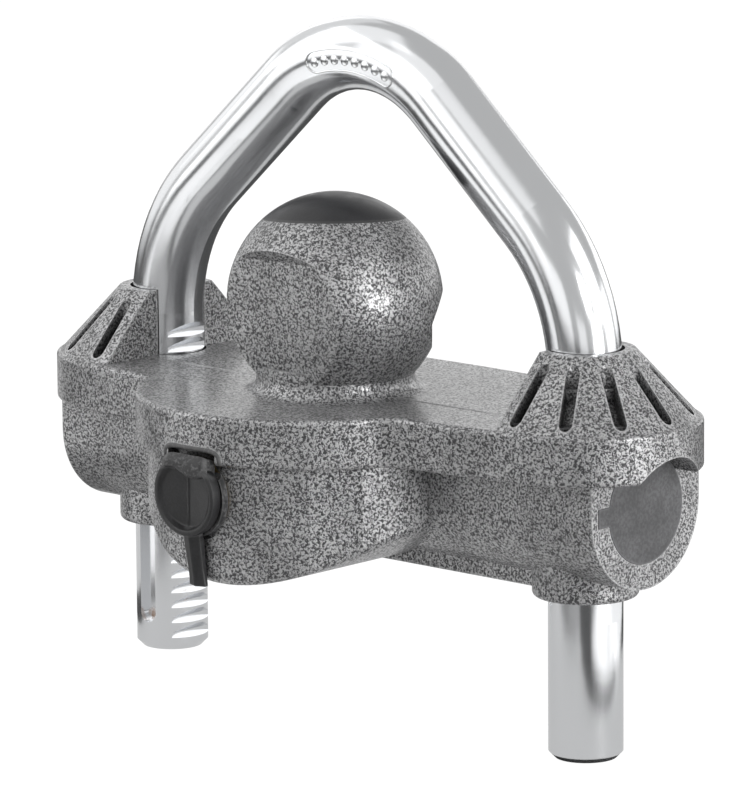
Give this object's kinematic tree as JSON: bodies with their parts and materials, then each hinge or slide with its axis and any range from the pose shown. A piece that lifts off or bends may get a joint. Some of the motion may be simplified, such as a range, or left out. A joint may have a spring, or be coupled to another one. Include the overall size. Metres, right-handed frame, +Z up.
{
  "type": "trailer coupler lock",
  "caption": "Trailer coupler lock: painted casting with a socket-filling ball, a ratchet-toothed U shackle, a key cylinder under a rubber dust cover and a core plug.",
  "frame": {"origin": "centre of the ball that fills the coupler's socket", "axes": "+X from the toothed shackle leg to the plain leg, -Y the keyhole side, +Z up along the shackle legs"},
  "size_m": [0.1716, 0.0832, 0.1522],
  "materials": {
    "hammertone": "grey silver-vein hammertone paint",
    "chrome": "bright chrome plate, lightly brushed",
    "cap": "satin black",
    "core": "matt dark grey, fine grain",
    "rubber": "satin black rubber",
    "pin_steel": "plain steel",
    "bolt_steel": "hardened, ground",
    "lock_brass": "machined"
  },
  "bodies": {
    "housing": {"body_casting": "hammertone", "ball_cap": "cap", "core_plug": "core", "core_roll_pin": "pin_steel", "shackle_guide_pin": "hammertone", "lock_shell": "lock_brass", "drill_guard": "pin_steel", "shell_roll_pin": "pin_steel", "bolt_spring": "pin_steel", "dust_cover_seat": "rubber", "hinge_pin": "pin_steel"},
    "shackle": {"shackle": "chrome"},
    "key_plug": {"lock_plug": "lock_brass", "plug_clip": "pin_steel", "drive_cam": "pin_steel", "wafer_1": "lock_brass", "wafer_2": "lock_brass", "wafer_3": "lock_brass", "wafer_4": "lock_brass", "wafer_5": "lock_brass", "wafer_6": "lock_brass"},
    "bolt": {"locking_bolt": "bolt_steel"},
    "dust_cover": {"dust_cover_flap": "rubber"}
  },
  "joints": [
    {"name": "shackle_slide", "type": "slide", "parent": "housing", "child": "shackle", "axis": [0, 0, 1], "range_m": [0, 0.0408]},
    {"name": "key_turn", "type": "hinge", "parent": "housing", "child": "key_plug", "pos_m": [-0.004, -0.019, -0.0373], "axis": [0, -1, 0], "range_deg": [0, 90]},
    {"name": "bolt_slide", "type": "slide", "parent": "housing", "child": "bolt", "axis": [-1, 0, 0], "range_m": [0, 0.00283], "deforming": ["bolt_spring"]},
    {"name": "dust_cover", "type": "hinge", "parent": "housing", "child": "dust_cover", "pos_m": [-0.004, -0.0406, -0.0301], "axis": [-1, 0, 0], "range_deg": [0, 100], "stiffness_Nm_per_rad": 0.003}
  ],
  "couplings": [
    {"joint": "key_turn", "follows": "bolt_slide", "rad_per_m": 555.36}
  ]
}
